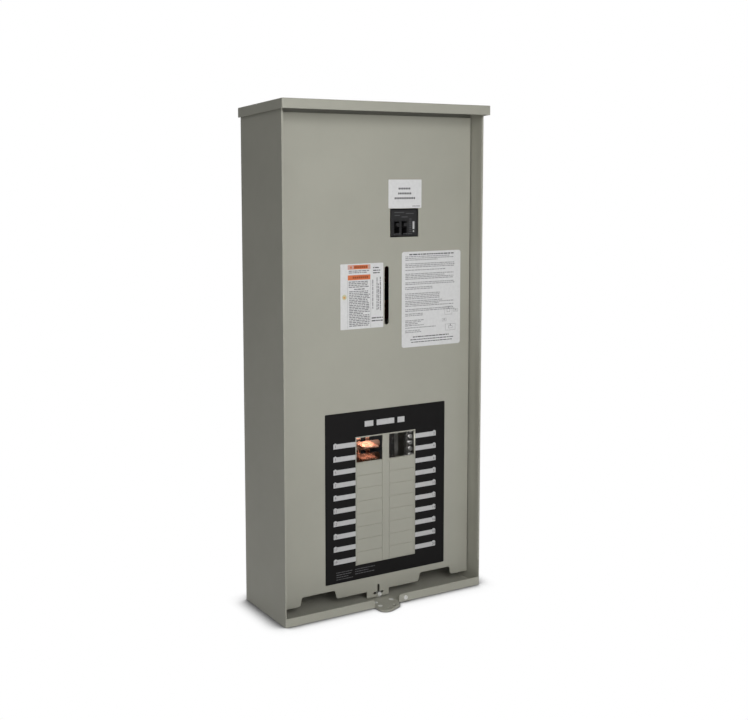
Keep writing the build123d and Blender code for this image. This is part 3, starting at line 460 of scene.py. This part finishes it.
rules = [operation.rect(u, rule_v[0], u + rule, rule_v[1]) for u in (15.6, 66.6)]
operation.ink("rules", rules, ink_grey)
upright_lines = []
for u, v0, v1 in ((70.5, 32, 88), (80, 28, 92), (83.2, 40, 90)):
    upright_lines += operation.upright(u, v0, v1, body_height)
operation.ink("upright_text", upright_lines, ink_grey)
bold_lines = operation.upright(87.5, 27, 92, 1.7)
for u0, v, u1, height in ((69, 105, 94, 2.2), (69, 110.5, 94, 2.2), (72, 8, 88, 1.9), (72, 13.2, 88, 1.9),
                          (72, 18, 87, 1.9)):
    bold_lines += operation.words(u0, v, u1, height)
operation.ink("bold_text", bold_lines, ink_dark)
dot_x, dot_z = operation.spot(8.5, 63)
dot_radius = 5.2 * MM
dot_core = rectangle(dot_x - 2.2 * MM, dot_x + 2.2 * MM, dot_z - 2.5 * MM, dot_z + 1.5 * MM)
operation.ink("dot", [disc(dot_x, dot_z, dot_radius)], ink_pale_yellow)
operation.ink("dot_centre", [dot_core], ink_amber, layer=2)

# ---------------------------------------------------------------- information label

information = Sheet("information_label")
information.ink("heading", information.words(17, 4.6, 124, 2.2), ink_dark)
paragraphs = ((8, 9, 127, 19), (8, 23, 128, 33), (8, 35.5, 104, 38), (8, 43, 124, 57), (8, 60, 127, 67),
              (8, 69.5, 72, 77), (8, 82, 91, 94), (8, 96.5, 127, 110), (8, 113, 127, 119), (8, 122, 50, 128),
              (8, 135, 52, 147), (8, 149.5, 88, 152), (8, 155, 50, 161))
body_lines = []
for u0, v0, u1, v1 in paragraphs:
    body_lines += information.column(u0, v0, u1, v1, line_step, 1.7)
information.ink("text", body_lines, ink_soft)
foot_lines = []
for u0, v, u1, height in ((26, 168, 114, 1.9), (20, 173.5, 124, 1.6), (22, 178.5, 122, 1.6)):
    foot_lines += information.words(u0, v, u1, height)
information.ink("foot_lines", foot_lines, ink_dark)


def small_figure(u, v, wide, high):
    """A plain drawing: a frame, a smaller frame in it and a stroke from the top."""
    x0, z1 = information.spot(u, v)
    w, h = wide * MM, high * MM
    parts = ring(x0, x0 + w, z1 - h, z1, 0.45 * MM)
    parts += ring(x0 + 0.3 * w, x0 + 0.7 * w, z1 - 0.7 * h, z1 - 0.3 * h, 0.6 * MM)
    parts.append(rectangle(x0 + 0.46 * w, x0 + 0.54 * w, z1 - 0.3 * h, z1))
    return parts


figures = []
for u, v, wide, high in ((102, 112, 18, 17), (123, 118, 11, 6), (96, 136, 10, 6), (104, 148, 24, 13)):
    figures += small_figure(u, v, wide, high)
information.ink("figures", figures, ink_grey)

# ---------------------------------------------------------------- breaker nose

nose_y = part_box("main_breaker_case")[0][1]
nose_x = (31.2 * MM, 92.4 * MM)
nose_z = (719.1 * MM, 770.3 * MM)
frame_line = 1.4 * MM
rim_high = 0.8 * MM
toggle_frame_x = (36.5 * MM, 70.5 * MM)
toggle_frame_z = (718.9 * MM + frame_line, 749.5 * MM)
toggle_frame_line = 1.0 * MM
print_high = 0.1 * MM
mark_x = (81.6 * MM, 85.6 * MM)
mark_z = (732 * MM, 747 * MM)
mark_dot = (83.6 * MM, 728 * MM, 1.6 * MM)
rating_height = 1.3


def on_nose(name, outlines, high, material):
    vertices, faces = join_shapes([prism(outline, nose_y - high, nose_y) for outline in outlines])
    piece(name, vertices, faces, material, "enclosure")


rim = ring(*nose_x, *nose_z, frame_line) + ring(*toggle_frame_x, *toggle_frame_z, toggle_frame_line)
on_nose("breaker_face_rim", rim, rim_high, looks["black_moulding"])
on_nose("breaker_marks", [rectangle(*mark_x, *mark_z), disc(*mark_dot)], print_high, ink_white)
ratings = [(39, 62, 764.2), (66, 84, 762), (40, 52, 758.6), (56, 70, 755.4), (60, 80, 722.5), (38, 54, 722.5)]
ratings += [(74, 79, 727 + 4 * line) for line in range(7)]
rating_lines = [rectangle(left * MM, right * MM, z * MM, (z + rating_height) * MM)
                for left, right, z in ratings]
on_nose("breaker_ratings", rating_lines, print_high, ink_footnote)

# ---------------------------------------------------------------- floor and sky

FLOOR_GLOW = 0.08
SKY = 0.17
SHADOW_REACH = 0.045            # how far from the unit its contact shadow shows on the floor
SHADOW_FULL = 0.45              # openness at which that shadow is darkest
FLOOR_REACH = 30.0
FLOOR_DROP = 0.0002


def floor_look():
    """Pale paper. The camera sees it white, shaded close to the unit, and other rays see it plain."""
    t = Tree("floor_white")
    pale = t.ramp(t.noise(2.0), 0.3, 0.7, (0.78, 0.78, 0.78), (0.8, 0.8, 0.8))
    t.link(pale, t.shader.inputs["Base Color"])
    t.shader.inputs["Roughness"].default_value = 0.9
    t.shader.inputs["Specular IOR Level"].default_value = 0.0
    t.shader.inputs["Emission Color"].default_value = (1, 1, 1, 1)
    t.shader.inputs["Emission Strength"].default_value = FLOOR_GLOW
    openness = t.nodes.new("ShaderNodeAmbientOcclusion")
    openness.inputs["Distance"].default_value = SHADOW_REACH
    whiteness = t.nodes.new("ShaderNodeMapRange")
    whiteness.interpolation_type = "SMOOTHSTEP"
    whiteness.inputs["From Min"].default_value = SHADOW_FULL
    whiteness.inputs["From Max"].default_value = 1.0
    t.link(openness.outputs["AO"], whiteness.inputs["Value"])
    shadow = t.nodes.new("ShaderNodeBsdfDiffuse")
    shadow.inputs["Color"].default_value = (0.16, 0.16, 0.16, 1)
    paper = t.nodes.new("ShaderNodeEmission")
    contact = t.nodes.new("ShaderNodeMixShader")
    t.link(whiteness.outputs["Result"], contact.inputs["Fac"])
    t.link(shadow.outputs["BSDF"], contact.inputs[1])
    t.link(paper.outputs["Emission"], contact.inputs[2])
    path = t.nodes.new("ShaderNodeLightPath")
    choice = t.nodes.new("ShaderNodeMixShader")
    t.link(path.outputs["Is Camera Ray"], choice.inputs["Fac"])
    t.link(t.shader.outputs["BSDF"], choice.inputs[1])
    t.link(contact.outputs["Shader"], choice.inputs[2])
    t.link(choice.outputs["Shader"], t.nodes["Material Output"].inputs["Surface"])
    return t.material


def make_floor():
    mesh = bpy.data.meshes.new("floor")
    corners = [(-FLOOR_REACH, -FLOOR_REACH, 0), (FLOOR_REACH, -FLOOR_REACH, 0),
               (FLOOR_REACH, FLOOR_REACH, 0), (-FLOOR_REACH, FLOOR_REACH, 0)]
    mesh.from_pydata(corners, [], [(0, 1, 2, 3)])
    mesh.materials.append(floor_look())
    floor = bpy.data.objects.new("floor", mesh)
    floor.location.z = cad_low[2] - FLOOR_DROP
    bpy.context.scene.collection.objects.link(floor)


def make_sky():
    """White behind the unit, and a dimmer white as its light."""
    world = bpy.data.worlds.new("studio")
    bpy.context.scene.world = world
    world.use_nodes = True
    nodes, links = world.node_tree.nodes, world.node_tree.links
    lit = nodes["Background"]
    lit.inputs["Color"].default_value = (1, 1, 1, 1)
    lit.inputs["Strength"].default_value = SKY
    seen = nodes.new("ShaderNodeBackground")
    seen.inputs["Color"].default_value = (1, 1, 1, 1)
    seen.inputs["Strength"].default_value = 1.0
    path = nodes.new("ShaderNodeLightPath")
    choose = nodes.new("ShaderNodeMixShader")
    links.new(path.outputs["Is Camera Ray"], choose.inputs["Fac"])
    links.new(lit.outputs["Background"], choose.inputs[1])
    links.new(seen.outputs["Background"], choose.inputs[2])
    links.new(choose.outputs["Shader"], nodes["World Output"].inputs["Surface"])


make_floor()
make_sky()
bpy.context.scene.view_settings.view_transform = "Standard"

# ---------------------------------------------------------------- lamps


def softbox(name, place, aim, size, power, sheen_only=False):
    lamp = bpy.data.lights.new(name, "AREA")
    lamp.shape = "RECTANGLE"
    lamp.size, lamp.size_y = size
    lamp.energy = power
    made = bpy.data.objects.new(name, lamp)
    made.location = place
    made.rotation_euler = (Vector(aim) - Vector(place)).to_track_quat("-Z", "Y").to_euler()
    made.visible_camera = False
    made.visible_diffuse = not sheen_only
    bpy.context.scene.collection.objects.link(made)


softbox("key", (-0.5, -3.0, 1.7), (0.0, 0.0, 0.55), (1.8, 1.4), 31.0)
softbox("strip", (-0.24, -1.05, 0.85), (0.0, 0.0, 0.6), (0.3, 1.2), 4.3)
softbox("fill", (-2.4, -1.5, 2.2), (0.0, 0.0, 0.75), (1.4, 1.4), 5.0)
softbox("back", (1.5, 2.8, 2.0), (0.0, 0.0, 0.5), (1.8, 1.8), 45.0)
softbox("glint", (0.75, -1.35, 0.16), (0.0, 0.0, 0.22), (0.7, 0.3), 0.8, sheen_only=True)

# two small lamps just behind the dead front light the open breaker spaces
glow_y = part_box("dead_front")[0][1] + 4 * MM
softbox("left_glow", (-0.017, glow_y, 0.322), (-0.017, 0.0, 0.302), (0.05, 0.012), 0.013)
softbox("right_glow", (0.062, glow_y, 0.322), (0.078, 0.0, 0.302), (0.03, 0.012), 0.022)

# ---------------------------------------------------------------- camera

CAMERA_PLACE = (-1.1397, -1.9009, 0.8340)
YAW, PITCH = 0.5449, 0.1078     # radians to the right of +Y and below level
FOCAL_PIXELS = 1140.78
IMAGE_WIDTH = 748
SENSOR = 36.0

camera_data = bpy.data.cameras.new("camera")
camera = bpy.data.objects.new("camera", camera_data)
bpy.context.scene.collection.objects.link(camera)
camera.location = CAMERA_PLACE
forward = Vector((math.sin(YAW) * math.cos(PITCH), math.cos(YAW) * math.cos(PITCH), -math.sin(PITCH)))
camera.rotation_euler = forward.to_track_quat("-Z", "Y").to_euler()
camera_data.sensor_width = SENSOR
camera_data.lens = FOCAL_PIXELS / IMAGE_WIDTH * SENSOR
camera_data.shift_y = -0.0802
camera_data.clip_start = 0.05
camera_data.clip_end = 100.0
bpy.context.scene.camera = camera
